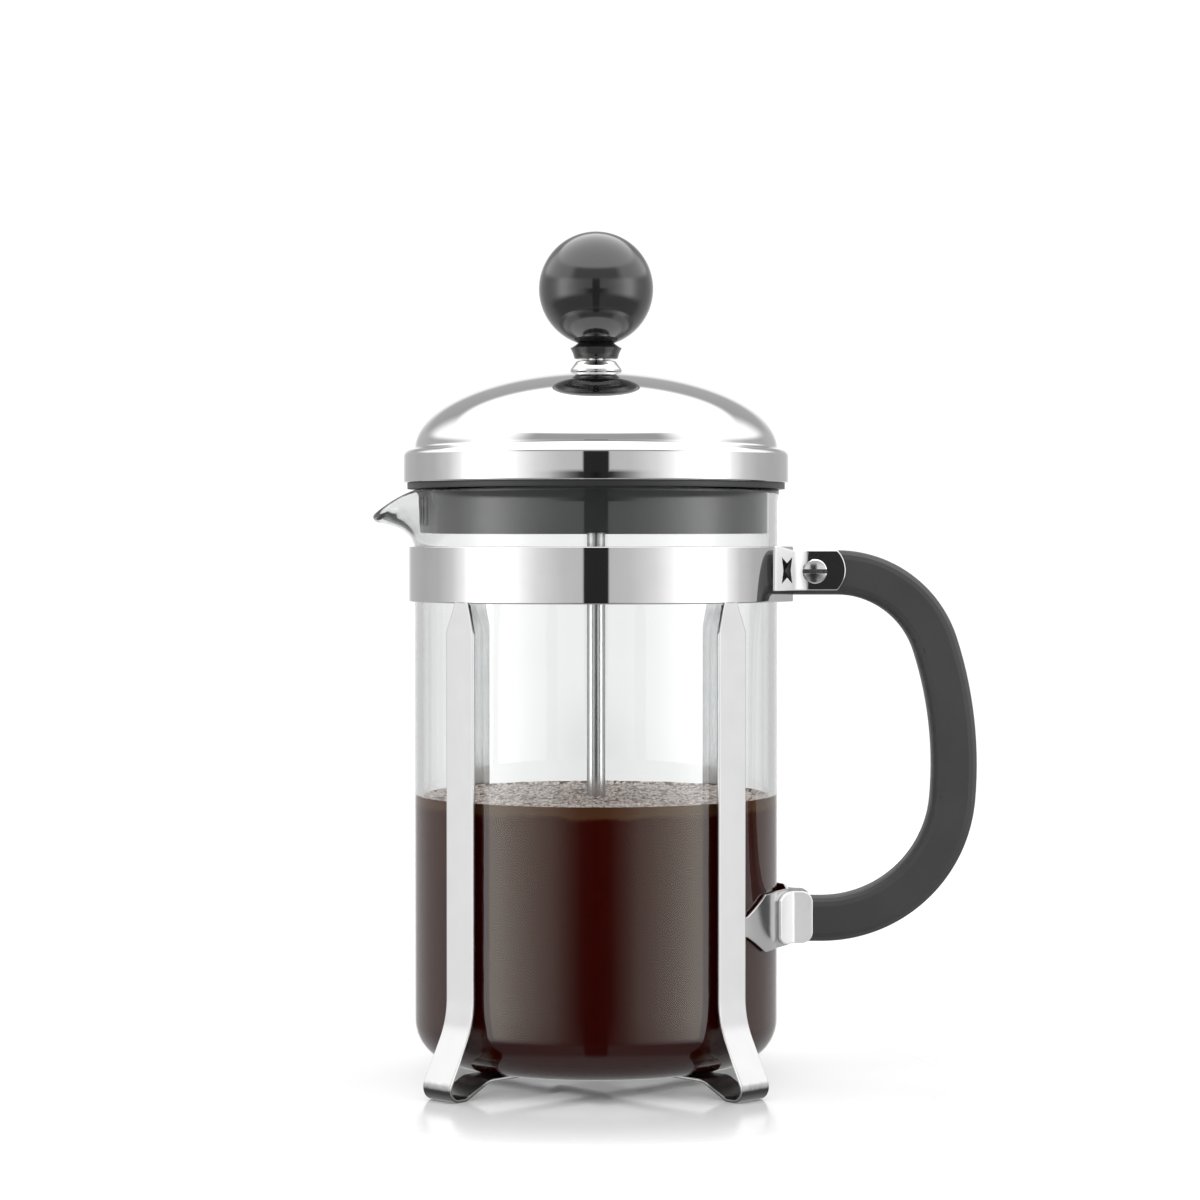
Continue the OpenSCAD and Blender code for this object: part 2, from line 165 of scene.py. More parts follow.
class Shader:
    """A material or world node tree with short calls for the nodes used here."""

    def __init__(self, tree):
        self.tree = tree

    def put(self, value, socket):
        if isinstance(value, bpy.types.NodeSocket):
            self.tree.links.new(value, socket)
        elif value is not None:
            socket.default_value = value

    def math(self, operation, a, b=None, c=None, clamp=False):
        n = self.tree.nodes.new("ShaderNodeMath")
        n.operation = operation
        n.use_clamp = clamp
        for value, socket in zip((a, b, c), n.inputs):
            self.put(value, socket)
        return n.outputs[0]

    def mix(self, factor, a, b):
        n = self.tree.nodes.new("ShaderNodeMix")
        n.data_type = "RGBA"
        self.put(factor, n.inputs["Factor"])
        for value, socket in ((a, n.inputs[6]), (b, n.inputs[7])):
            self.put(value if isinstance(value, bpy.types.NodeSocket) else (*value, 1), socket)
        return n.outputs[2]

    def object_position(self):
        return self.tree.nodes.new("ShaderNodeTexCoord").outputs["Object"]

    def split(self, vector):
        n = self.tree.nodes.new("ShaderNodeSeparateXYZ")
        self.put(vector, n.inputs[0])
        return n.outputs

    def join(self, x, y, z):
        n = self.tree.nodes.new("ShaderNodeCombineXYZ")
        for value, socket in zip((x, y, z), n.inputs):
            self.put(value, socket)
        return n.outputs[0]

    def scaled(self, vector, factors):
        n = self.tree.nodes.new("ShaderNodeVectorMath")
        n.operation = "MULTIPLY"
        self.put(vector, n.inputs[0])
        n.inputs[1].default_value = factors
        return n.outputs[0]

    def noise(self, size_mm, detail=2.0, rough=0.5, vector=None):
        n = self.tree.nodes.new("ShaderNodeTexNoise")
        self.put(vector or self.object_position(), n.inputs["Vector"])
        n.inputs["Scale"].default_value = 1 / (size_mm * MM)
        n.inputs["Detail"].default_value = detail
        n.inputs["Roughness"].default_value = rough
        return n.outputs["Fac"]

    def cells(self, size_mm, output, vector):
        n = self.tree.nodes.new("ShaderNodeTexVoronoi")
        self.put(vector, n.inputs["Vector"])
        n.inputs["Scale"].default_value = 1 / (size_mm * MM)
        return n.outputs[output]

    def ramp(self, factor, stops, ease=False):
        """Colour or grey over 0..1: stops are (position, grey) or (position, (r, g, b))."""
        n = self.tree.nodes.new("ShaderNodeValToRGB")
        n.color_ramp.interpolation = "EASE" if ease else "LINEAR"
        elements = n.color_ramp.elements
        while len(elements) < len(stops):
            elements.new(0.5)
        for element, (position, value) in zip(elements, stops):
            element.position = position
            rgb = value if isinstance(value, tuple) else (value,) * 3
            element.color = (*rgb, 1)
        self.put(factor, n.inputs[0])
        return n.outputs[0]

    def span(self, factor, low, high):
        """A 0..1 factor carried to low..high."""
        n = self.tree.nodes.new("ShaderNodeMapRange")
        self.put(factor, n.inputs["Value"])
        n.inputs["To Min"].default_value = low
        n.inputs["To Max"].default_value = high
        return n.outputs[0]

    def bump(self, height, depth_mm, strength=1.0, normal=None):
        n = self.tree.nodes.new("ShaderNodeBump")
        n.inputs["Strength"].default_value = strength
        n.inputs["Distance"].default_value = depth_mm * MM
        self.put(height, n.inputs["Height"])
        if normal is not None:
            self.put(normal, n.inputs["Normal"])
        return n.outputs[0]


def new_material(name):
    material = bpy.data.materials.new(name)
    material.use_nodes = True
    s = Shader(material.node_tree)
    return material, s, material.node_tree.nodes["Principled BSDF"].inputs


def grey(v):
    return (v, v, v)


# ---- materials (sizes in millimetres) ----

BUBBLE = 1.05
FOAM_STRETCH = 0.62
SHINY_TABLE_R = 110


def plated_metal(name, tone, rough, haze_mm=6.0, ripple_mm=0.002, metallic=1.0, shade_below=0):
    """Plated sheet: faint clouding, hairline wipe marks and a very slight ripple.
    A metallic below 1 gives the frosted look of a satin plate. Below a given height it is darkened with
    painted contact shade, where the feet come near the table, its edge mottled by noise."""
    material, s, b = new_material(name)
    cloud = s.noise(haze_mm, 3)
    hair = s.noise(0.35, 4, 0.7, s.scaled(s.object_position(), (1, 1, 0.12)))
    colour = s.ramp(cloud, [(0.25, grey(tone * 0.955)), (0.75, grey(tone))])
    if shade_below:
        # painted contact shade: the sheet turns dark towards the table, with a mottled edge
        z = s.math("MULTIPLY", s.split(s.object_position())[2], 1 / (shade_below * MM))
        contact_shade = s.math("MULTIPLY_ADD", s.math("SUBTRACT", s.noise(2.5, 3), 0.5), 0.25, z)
        colour = s.mix(s.ramp(contact_shade, [(0.6, 0.85), (1.0, 0.0)]), colour, grey(0.05))
    s.put(colour, b["Base Color"])
    b["Metallic"].default_value = metallic
    s.put(s.span(s.math("MULTIPLY", cloud, hair), rough * 0.7, rough * 2.0), b["Roughness"])
    s.put(s.bump(s.noise(9, 2), ripple_mm, 0.6, s.bump(hair, 0.0006, 0.5)), b["Normal"])
    return material


def stamped_chrome(name, satin, polished, from_x, to_x):
    """Plated sheet that the press tool left satin up to from_x and that is polished beyond to_x.
    satin and polished hold tone, roughness and metallic."""
    material, s, b = new_material(name)
    x = s.split(s.object_position())[0]
    cloud = s.noise(5, 3)
    beyond = s.math("MULTIPLY", s.math("SUBTRACT", x, from_x * MM), 1 / ((to_x - from_x) * MM), clamp=True)
    stamped = s.math("SUBTRACT", 1.0, beyond)
    tone, rough, metallic = (s.math("MULTIPLY_ADD", stamped, there - here, here)
                             for there, here in zip(satin, polished))
    colour = s.join(tone, tone, tone)
    s.put(s.mix(cloud, colour, s.scaled(colour, grey(0.95))), b["Base Color"])
    s.put(rough, b["Roughness"])
    s.put(metallic, b["Metallic"])
    s.put(s.bump(s.noise(9, 2), 0.002, 0.6), b["Normal"])
    return material


def brushed_metal(name, tone, rough, direction=(1, 1, 0.04), grain_mm=0.25):
    """Stainless steel with a fine drawn grain."""
    material, s, b = new_material(name)
    grain = s.noise(grain_mm, 4, 0.6, s.scaled(s.object_position(), direction))
    cloud = s.noise(7, 3)
    s.put(s.ramp(cloud, [(0.2, grey(tone * 0.93)), (0.8, grey(tone))]), b["Base Color"])
    b["Metallic"].default_value = 1
    s.put(s.span(grain, rough * 0.6, rough * 1.5), b["Roughness"])
    s.put(s.bump(grain, 0.004, 0.6), b["Normal"])
    return material


def moulded_plastic(name, colour, rough, grain_mm, depth_mm, coat=0.0):
    """Moulded plastic: slight colour drift, fine tool texture, polished a little by handling."""
    material, s, b = new_material(name)
    drift = s.noise(14, 3)
    light = tuple(c * 1.18 for c in colour)
    s.put(s.ramp(drift, [(0.3, colour), (0.7, light)]), b["Base Color"])
    s.put(s.span(s.noise(5, 4, 0.6), rough * 0.82, rough * 1.15), b["Roughness"])
    s.put(s.bump(s.noise(grain_mm, 3, 0.6), depth_mm, 0.7), b["Normal"])
    b["Coat Weight"].default_value = coat
    b["Coat Roughness"].default_value = 0.06
    return material


def clear_glass(name):
    """Clear blown glass. Shadow rays pass straight through, so what it holds is lit softly."""
    material, s, b = new_material(name)
    tree = material.node_tree
    s.put(s.ramp(s.noise(25, 2), [(0.3, (0.955, 0.965, 0.965)), (0.7, (0.975, 0.98, 0.98))]), b["Base Color"])
    b["Transmission Weight"].default_value = 1
    b["IOR"].default_value = 1.47
    s.put(s.span(s.noise(18, 3), 0.0, 0.012), b["Roughness"])
    s.put(s.bump(s.noise(22, 1), 0.02, 0.25), b["Normal"])
    clear = tree.nodes.new("ShaderNodeBsdfTransparent")
    clear.inputs["Color"].default_value = (0.93, 0.94, 0.94, 1)
    path = tree.nodes.new("ShaderNodeLightPath")
    choose = tree.nodes.new("ShaderNodeMixShader")
    through = s.math("MAXIMUM", path.outputs["Is Shadow Ray"], path.outputs["Is Diffuse Ray"])
    s.put(through, choose.inputs[0])
    s.put(tree.nodes["Principled BSDF"].outputs[0], choose.inputs[1])
    s.put(clear.outputs[0], choose.inputs[2])
    s.put(choose.outputs[0], tree.nodes["Material Output"].inputs["Surface"])
    return material


def brewed_coffee(name):
    """Near-black coffee with a red cast. The last few millimetres under the foam are painted browner, a
    painted glow for light passing through the thin coffee there.
    """
    material, s, b = new_material(name)
    position = s.split(s.object_position())
    z = s.math("MULTIPLY", position[2], 1 / (COFFEE_Z * MM))
    cloud = s.noise(16, 3)
    wander = s.math("MULTIPLY_ADD", s.noise(9, 3), 0.05, z)
    # the top stops of this ramp are painted light: a brown glow under the foam, standing in for light through
    # the coffee
    depth = s.ramp(wander, [
        (0.3, (0.020, 0.0005, 0.0003)), (0.980, (0.024, 0.0010, 0.0003)),
        (0.990, (0.027, 0.0025, 0.0008)), (1.0, (0.058, 0.026, 0.012))])
    s.put(s.mix(s.math("MULTIPLY", cloud, 0.35), depth, (0.027, 0.0025, 0.0004)), b["Base Color"])
    s.put(s.span(cloud, 0.04, 0.06), b["Roughness"])
    b["Specular IOR Level"].default_value = 0.25
    b["Specular Tint"].default_value = (1.0, 0.97, 0.62, 1)
    return material


def coffee_foam(name):
    """Pale speckled bubbles with dark coffee and grounds between them."""
    material, s, b = new_material(name)
    flat = s.scaled(s.object_position(), (1, FOAM_STRETCH, 0.3))
    pick = s.split(s.cells(BUBBLE, "Color", flat))[0]
    patches = s.noise(11, 3, 0.6, flat)
    pale = s.mix(patches, (0.86, 0.75, 0.71), (0.55, 0.47, 0.41))
    shade = s.ramp(pick, [(0.0, 1.0), (0.2, 0.85), (0.34, 0.25), (0.5, 0.0), (1.0, 0.1)])
    rim = s.ramp(s.cells(BUBBLE, "Distance", flat), [(0.35, 0.0), (0.75, 0.7)])
    speck = s.ramp(s.noise(1.1, 3, 0.7, flat), [(0.57, 0.0), (0.64, 0.95)])
    dark = s.math("MAXIMUM", s.math("MAXIMUM", shade, rim), speck, clamp=True)
    s.put(s.mix(dark, pale, (0.085, 0.048, 0.028)), b["Base Color"])
    s.put(s.span(patches, 0.3, 0.6), b["Roughness"])
    b["Specular IOR Level"].default_value = 0.3
    s.put(s.bump(s.noise(0.5, 3), 0.1, 0.5), b["Normal"])
    return material


def woven_gauze(name):
    """Fine plain-weave wire cloth, with open squares between the wires."""
    material, s, b = new_material(name)
    pitch = 2 * math.pi / (0.55 * MM)
    x, y, z = s.split(s.object_position())
    around = s.math("MULTIPLY", s.math("ARCTAN2", y, x), GAUZE_R * MM)
    normal = s.split(s.tree.nodes.new("ShaderNodeNewGeometry").outputs["True Normal"])
    upright = s.math("LESS_THAN", s.math("ABSOLUTE", normal[2]), 0.7)
    level = s.math("SUBTRACT", 1.0, upright)
    u = s.math("ADD", s.math("MULTIPLY", around, upright), s.math("MULTIPLY", x, level))
    v = s.math("ADD", s.math("MULTIPLY", z, upright), s.math("MULTIPLY", y, level))
    wave_u = s.math("SINE", s.math("MULTIPLY", u, pitch))
    wave_v = s.math("SINE", s.math("MULTIPLY", v, pitch))
    weave = s.math("MAXIMUM", wave_u, wave_v)
    s.put(s.ramp(s.noise(6, 3), [(0.3, grey(0.42)), (0.7, grey(0.55))]), b["Base Color"])
    b["Metallic"].default_value = 1
    s.put(s.span(s.noise(1.5, 3), 0.25, 0.4), b["Roughness"])
    s.put(s.math("MULTIPLY_ADD", s.math("GREATER_THAN", weave, 0.1), 0.85, 0.15), b["Alpha"])
    s.put(s.bump(weave, 0.12, 0.8), b["Normal"])
    return material


def turned_brass(name):
    """Brass with fine rings from the lathe."""
    material, s, b = new_material(name)
    rings = s.noise(0.3, 3, 0.6, s.scaled(s.object_position(), (0.1, 0.1, 1)))
    s.put(s.ramp(s.noise(4, 3), [(0.3, (0.55, 0.38, 0.13)), (0.7, (0.68, 0.49, 0.2))]), b["Base Color"])
    b["Metallic"].default_value = 1
    s.put(s.span(rings, 0.2, 0.4), b["Roughness"])
    s.put(s.bump(rings, 0.01, 0.6), b["Normal"])
    return material


def studio_floor(name):
    """White glossy table: its shine fades out away from the object."""
    material, s, b = new_material(name)
    x, y, z = s.split(s.object_position())
    distance = s.math("SQRT", s.math("ADD", s.math("MULTIPLY", x, x), s.math("MULTIPLY", y, y)))
    far = s.math("MULTIPLY", distance, 1 / (SHINY_TABLE_R * MM), clamp=True)
    s.put(s.ramp(s.noise(60, 2), [(0.3, grey(0.63)), (0.7, grey(0.65))]), b["Base Color"])
    s.put(s.ramp(far, [(0.50, 0.85), (0.97, 0.0)], ease=True), b["Specular IOR Level"])
    s.put(s.ramp(far, [(0.5, 0.07), (1.0, 0.35)]), b["Roughness"])
    b["Emission Color"].default_value = (1, 1, 1, 1)
    b["Emission Strength"].default_value = 0.07
    return material


# ---- geometry helpers (all in millimetres; pieces are scaled to metres when they are made) ----


@contextmanager
def edited(mesh):
    """The mesh as a bmesh, written back afterwards."""
    bm = bmesh.new()
    bm.from_mesh(mesh)
    yield bm
    bm.to_mesh(mesh)
    bm.free()


def smooth_by_angle(mesh, degrees):
    mesh.shade_smooth()
    mesh.set_sharp_from_angle(angle=rad(degrees))


def add_piece(name, vertices, faces, material, body, replaces=None, sharp=40):
    """A new piece from points in millimetres, smooth but for edges sharper than an angle."""
    mesh = bpy.data.meshes.new(name)
    mesh.from_pydata([tuple(c * MM for c in v) for v in vertices], [], faces)
    with edited(mesh) as bm:
        bmesh.ops.remove_doubles(bm, verts=bm.verts, dist=1e-7)
        bmesh.ops.recalc_face_normals(bm, faces=bm.faces)
    smooth_by_angle(mesh, sharp)
    piece = place(name, mesh)
    mesh.materials.append(material)
    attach(piece, body)
    if replaces:
        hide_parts(replaces)
    return piece


def arc(cx, cy, r, a0, a1, n):
    """Points on an arc from a0 to a1 degrees, in n steps."""
    return [(cx + r * math.cos(rad(a0 + (a1 - a0) * i / n)), cy + r * math.sin(rad(a0 + (a1 - a0) * i / n)))
            for i in range(n + 1)]


def fillet(points, radii, n=6):
    """An open polyline with its inner corners rounded; radii holds one radius for each point."""
    out = [points[0]]
    for i in range(1, len(points) - 1):
        if radii[i] <= 0:
            out.append(points[i])
            continue
        p = Vector(points[i])
        a = (Vector(points[i - 1]) - p).normalized()
        b = (Vector(points[i + 1]) - p).normalized()
        half = a.angle(b) / 2
        reach = radii[i] / math.tan(half)
        centre = p + (a + b).normalized() * (radii[i] / math.sin(half))
        start = p + a * reach - centre
        end = p + b * reach - centre
        for k in range(n + 1):
            spoke = start.slerp(end, k / n).normalized()
            out.append(tuple(centre + spoke * radii[i]))
    out.append(points[-1])
    return out


def lathe(profile, steps):
    """Turns a closed (r, z) outline about Z. Points on the axis become poles."""
    vertices = []
    rings = []
    for r, z in profile:
        if r < 1e-6:
            rings.append([len(vertices)] * steps)
            vertices.append((0, 0, z))
        else:
            rings.append(list(range(len(vertices), len(vertices) + steps)))
            vertices += [(r * math.cos(2 * math.pi * k / steps), r * math.sin(2 * math.pi * k / steps), z)
                         for k in range(steps)]
    faces = []
    for a, b in zip(rings, rings[1:] + rings[:1]):
        if a[0] == a[1] and b[0] == b[1]:
            continue
        for k in range(steps):
            quad = [a[k], a[(k + 1) % steps], b[(k + 1) % steps], b[k]]
            face = [v for i, v in enumerate(quad) if v not in quad[:i]]
            if len(face) > 2:
                faces.append(face)
    return vertices, faces


def rounded_section(t, low, high, r, n=3):
    """Outline of a sheet's section: t across, from low to high along its width, corners of radius r.
    Points close to the corners on both faces keep the faces flat in the shading."""
    r = min(r, t / 2 * 0.98, (high - low) / 2 * 0.98)
    h = t / 2
    e = min(0.12, (high - low - 2 * r) * 0.2)
    return (arc(h - r, high - r, r, 0, 90, n) + arc(-h + r, high - r, r, 90, 180, n)
            + [(-h, high - r - e), (-h, low + r + e)] + arc(-h + r, low + r, r, 180, 270, n)
            + arc(h - r, low + r, r, 270, 360, n) + [(h, low + r + e), (h, high - r - e)])


def loft(rings, closed=False):
    """Joins equal rings of points into a skin, with end caps unless closed."""
    count = len(rings[0])
    vertices = [p for ring in rings for p in ring]
    faces = []
    pairs = list(zip(range(len(rings)), range(1, len(rings))))
    if closed:
        pairs.append((len(rings) - 1, 0))
    for i, j in pairs:
        for k in range(count):
            m = (k + 1) % count
            faces.append([i * count + k, i * count + m, j * count + m, j * count + k])
    if not closed:
        faces.append(list(range(count))[::-1])
        faces.append([(len(rings) - 1) * count + k for k in range(count)])
    return vertices, faces


def path_normals(path, closed=False):
    """Unit normals to the right of a plane path."""
    out = []
    last = len(path) - 1
    for i in range(len(path)):
        a = path[i - 1] if i > 0 or closed else path[0]
        b = path[i + 1] if i < last else path[0] if closed else path[last]
        d = Vector((b[0] - a[0], b[1] - a[1])).normalized()
        out.append((d.y, -d.x))
    return out


def resample(path, step):
    """Splits long stretches of a path so that no stretch is longer than step."""
    out = [path[0]]
    for a, b in zip(path, path[1:]):
        length = math.dist(a, b)
        parts = max(1, math.ceil(length / step))
        out += [(a[0] + (b[0] - a[0]) * i / parts, a[1] + (b[1] - a[1]) * i / parts)
                for i in range(1, parts + 1)]
    return out


def bent_sheet(path, limits, t, r=0.0, closed=False):
    """A sheet that stands on a path in plan. limits(x, y) gives its lowest and highest z there.
    With r = 0 its edges are square, and round_edges softens them later."""
    rings = []
    for (x, y), (nx, ny) in zip(path, path_normals(path, closed)):
        low, high = limits(x, y)
        square = [(t / 2, low), (t / 2, high), (-t / 2, high), (-t / 2, low)]
        section = rounded_section(t, low, high, r) if r else square
        rings.append([(x + nx * u, y + ny * u, z) for u, z in section])
    return loft(rings, closed)


def merge_flats(piece):
    """Joins faces that lie in one plane, so that a bevel has room beside a round outline."""
    with edited(piece.data) as bm:
        bmesh.ops.dissolve_limit(bm, angle_limit=rad(1), verts=bm.verts, edges=bm.edges)


def round_edges(piece, width, segments=3, over=45):
    """Softens a piece's sharp edges and keeps its flat faces flat in the shading."""
    soften = piece.modifiers.new("soften", "BEVEL")
    soften.width = width * MM
    soften.segments = segments
    soften.limit_method = "ANGLE"
    soften.angle_limit = rad(over)
    apply_modifiers(piece)
    smooth_by_angle(piece.data, 50)
    weigh = piece.modifiers.new("weigh", "WEIGHTED_NORMAL")
    weigh.keep_sharp = True


# ---- beaker ----

SPOUT_HALF = 27
SPOUT_START_Z = 142
SPOUT_DROOP = 1.45
SPOUT_THINNING = 0.25
SPOUT_OUTLINE = [(49, 142), (49.05, 143.2), (49.4, 144.4), (50.1, 145.9), (51.4, 147.3), (53.0, 148.35),
                 (55.4, 149.25), (58.0, 149.85), (59.6, 150.3), (60.2, 151.0)]
WALL_ROWS = [30, 60, 90, 120, 136]
TOP_ROWS = 30
LIP_STEPS = 8


def along(points, t):
    """The point at a fraction t of the way along a polyline, smoothed with a Catmull-Rom curve."""
    n = len(points) - 1
    i = min(int(t * n), n - 1)
    f = t * n - i
    p0, p1, p2, p3 = (Vector(points[min(max(j, 0), n)]) for j in (i - 1, i, i + 1, i + 2))
    q = 0.5 * (2 * p1 + (p2 - p0) * f + (2 * p0 - 5 * p1 + 4 * p2 - p3) * f * f
               + (3 * p1 - p0 - 3 * p2 + p3) * f ** 3)
    return q.x, q.y


def wall_outline(t):
    """The plain wall's outside from SPOUT_START_Z up to the lip, t in 0..1."""
    z = SPOUT_START_Z + (RIM_Z - GLASS_WALL / 2 - SPOUT_START_Z) * t
    flare = max(0, (z - (RIM_Z - LIP_H)) / LIP_H)
    return GLASS_R + LIP_FLARE * flare ** 2, z


def wall_azimuths():
    """Angles round the glass, closer together across the spout."""
    azimuths = []
    a = 0.0
    while a < 360 - 1e-6:
        azimuths.append(a)
        a += 1.0 if abs(a - 180) < SPOUT_HALF + 3 else 2.0
    return azimuths


def beaker_profile(azimuth):
    """The glass in section: from the middle of its base up the outside, over the lip and down the bore."""
    u = min(abs(azimuth - 180) / SPOUT_HALF, 1)
    pull = 0.5 + 0.5 * math.cos(math.pi * u)
    outer = [(0, BASE_Z)] + arc(GLASS_R - CORNER_R, BASE_Z + CORNER_R, CORNER_R, -90, 0, 12)
    outer += [(GLASS_R, z) for z in WALL_ROWS]
    start = len(outer)
    for k in range(TOP_ROWS + 1):
        r0, z0 = wall_outline(k / TOP_ROWS)
        r1, z1 = along(SPOUT_OUTLINE, k / TOP_ROWS)
        outer.append((r0 + (r1 - r0) * pull, z0 + (z1 - z0) * pull ** SPOUT_DROOP))
    wall = GLASS_WALL - SPOUT_THINNING * pull
    inner = []
    for k in range(start, len(outer)):
        before, after = outer[k - 1], outer[min(k + 1, len(outer) - 1)]
        d = Vector((after[0] - before[0], after[1] - before[1])).normalized()
        inner.append((outer[k][0] - d.y * wall, outer[k][1] + d.x * wall))
    middle = (Vector(outer[-1]) + Vector(inner[-1])) / 2
    spoke = Vector(outer[-1]) - middle
    rise = Vector((-spoke.y, spoke.x))
    turns = [math.pi * k / LIP_STEPS for k in range(1, LIP_STEPS)]
    lip = [tuple(middle + spoke * math.cos(turn) + rise * math.sin(turn)) for turn in turns]
    corner_in = CORNER_R - GLASS_WALL
    bore = [(BORE_R, z) for z in WALL_ROWS[::-1]]
    bore += arc(BORE_R - corner_in, FLOOR_Z + corner_in, corner_in, 0, -90, 12) + [(0, FLOOR_Z)]
    return outer + lip + inner[::-1] + bore


def make_beaker(material):
    rings = []
    for azimuth in wall_azimuths():
        ca, sa = math.cos(rad(azimuth)), math.sin(rad(azimuth))
        rings.append([(r * ca, r * sa, z) for r, z in beaker_profile(azimuth)])
    count = len(rings[0])
    vertices = [p for ring in rings for p in ring]
    faces = []
    for i in range(len(rings)):
        j = (i + 1) % len(rings)
        for k in range(count - 1):
            faces.append([i * count + k, j * count + k, j * count + k + 1, i * count + k + 1])
    add_piece("glass_beaker", vertices, faces, material, "beaker", "beaker", sharp=60)


# ---- coffee ----


def make_coffee(material):
    """The liquid fills the bore, a hair into the glass, and climbs a little at the wall."""
    sink = 0.03
    r = BORE_R + sink
    corner = CORNER_R - GLASS_WALL
    surface = COFFEE_Z - 0.4
    side = [(0, FLOOR_Z - sink)] + arc(r - corner, FLOOR_Z - sink + corner, corner, -90, 0, 16)
    side += [(r, 30), (r, 50), (r, 70), (r, COFFEE_Z + 0.5)]
    side += [(r - 0.5, COFFEE_Z - 0.1), (r - 1.5, surface), (ROD_R, surface), (0, surface)]
    vertices, faces = lathe(side, 180)
    add_piece("coffee", vertices, faces, material, "beaker", sharp=60)


def foam_height(x, y, radius, edge):
    """Height of the bubbly surface: fine cells, broad swells and a climb at the glass."""
    fine = 1 - noise.voronoi(Vector((x, y * FOAM_STRETCH, 0)) / 1.5)[0][0] * 1.25
    broad = noise.noise(Vector((x, y, 4)) * 0.16)
    height = 0.75 * math.sqrt(max(fine, 0)) + 0.3 * broad
    climb = max(0, (radius - edge + 2.2) / 2.2)
    return COFFEE_Z - 0.55 + height * (1 - 0.6 * climb) + 0.95 * climb ** 2


def make_foam(material):
    """A thin layer of bubbles and grounds on the coffee, open where the rod passes."""
    rows, columns = 90, 300
    inside, edge = 2.2, BORE_R + 0.02
    turns = [2 * math.pi * k / columns for k in range(columns)]
    vertices = []
    for i in range(rows + 1):
        radius = inside + (edge - inside) * i / rows
        for a in turns:
            x, y = radius * math.cos(a), radius * math.sin(a)
            vertices.append((x, y, foam_height(x, y, radius, edge)))
    vertices += [(radius * math.cos(a), radius * math.sin(a), COFFEE_Z - 1.2)
                 for radius in (edge, inside) for a in turns]
    faces = []
    ring_count = rows + 3
    for i in range(ring_count):
        j = (i + 1) % ring_count
        for k in range(columns):
            m = (k + 1) % columns
            faces.append([i * columns + k, i * columns + m, j * columns + m, j * columns + k])
    add_piece("coffee_foam", vertices, faces, material, "beaker", sharp=80)


# ---- frame ----


def bump_path(r, azimuth, x, half, corner_r):
    """Closed path round the ring and out over its bump towards +X, from the bump's middle round."""
    root = (r * math.cos(rad(azimuth)), r * math.sin(rad(azimuth)))
    side = fillet([(x, 0), (x, half), root], [0, corner_r, 0], 8)
    ring = arc(0, 0, r, azimuth, 360 - azimuth, 170)
    other = [(px, -py) for px, py in side[::-1]]
    return side[:-1] + ring + other[1:-1]


def make_band(material):
    """Ring round the glass, with a flat bump towards the handle."""
    thick = BAND_OUT - BAND_IN
    path = bump_path(BAND_MID, BAND_AZIMUTH, BUMP_X - thick / 2, BUMP_HALF - 0.15, 1.6)
    vertices, faces = bent_sheet(path, lambda x, y: (BAND_Z, BAND_Z + BAND_H), thick, 0.3, True)
    add_piece("chrome_band", vertices, faces, material, "frame", "band", sharp=50)


def direction(start, end):
    """Unit vector from start to end, in plan."""
    length = math.dist(start, end)
    return (end[0] - start[0]) / length, (end[1] - start[1]) / length


def plate_path(root, corner, end_x, skip, bend_r):
    """Middle line of a side plate: along the bump's slanting side, then out along the handle."""
    ux, uy = direction(root, corner)
    off = SHEET_T / 2 + FACE_GAP
    start = (root[0] + uy * off + ux * skip, root[1] - ux * off + uy * skip)
    flat_y = -(LUG_HALF + SHEET_T / 2)
    meet = (start[0] + ux * (flat_y - start[1]) / uy, flat_y)
    return fillet([start, meet, (end_x, flat_y)], [0, bend_r, 0], 12)


def taper(at, start, end, first, last):
    """A size that goes evenly from first at start to last at end."""
    share = min(max((at - start) / (end - start), 0), 1)
    return first + (last - first) * share


def ear_limits(x, y):
    """The ear's lowest and highest z at x: tapered from the band, round at its end."""
    half = taper(x, EAR_TAPER_FROM, EAR_TAPER_TO, EAR_ROOT_HALF, EAR_HALF)
    low = EAR_HALF
    centre = EAR_END_X - EAR_END_R
    if x > centre:
        end = math.sqrt(max(EAR_END_R ** 2 - (x - centre) ** 2, 0.15))
        half, low = min(half, end), min(low, end)
    return EAR_Z - low, EAR_Z + half


def end_steps(path, x0, x1, n):
    """Adds steps between x0 and x1 that crowd together towards x1, for a round end."""
    y = path[-1][1]
    kept = [p for p in path if p[0] < x0 - 0.05]
    return kept + [(x0 + (x1 - x0) * math.sin(math.pi / 2 * i / n), y) for i in range(n + 1)]


def star_cutter(centre, along_face, material):
    """A shallow four-pointed pyramid, for the press mark on the ear's slanting face. The cut faces take its
    dark material, which is painted shade in the recess.
    """
    tip, notch_s, notch_z = 4.3, 3.0, 2.3
    bottom, top = (-0.6, 0.12), (0.4, 1.3)
    ux, uy = along_face
    nx, ny = uy, -ux
    outline = [(notch_s, 0), (tip, tip), (0, notch_z), (-tip, tip),
               (-notch_s, 0), (-tip, -tip), (0, -notch_z), (tip, -tip)]
    points = []
    for lift, grow in (bottom, top):
        for s, z in outline:
            s, z = s * grow, z * grow
            points.append((centre[0] + ux * s + nx * lift, centre[1] + uy * s + ny * lift, centre[2] + z))
    faces = [[i, (i + 1) % 8, 8 + (i + 1) % 8, 8 + i] for i in range(8)]
    faces += [list(range(8)), list(range(8, 16))[::-1]]
    mesh = bpy.data.meshes.new("star_cutter")
    mesh.from_pydata([tuple(c * MM for c in p) for p in points], [], faces)
    with edited(mesh) as bm:
        bmesh.ops.recalc_face_normals(bm, faces=bm.faces)
    mesh.materials.append(material)
    return place("star_cutter", mesh)


def slot_cutter(middle, size):
    mesh = bpy.data.meshes.new("slot_cutter")
    with edited(mesh) as bm:
        bmesh.ops.create_cube(bm, size=1)
        for v in bm.verts:
            v.co = (Vector(middle) + v.co * Vector(size)) * MM
    return place("slot_cutter", mesh)


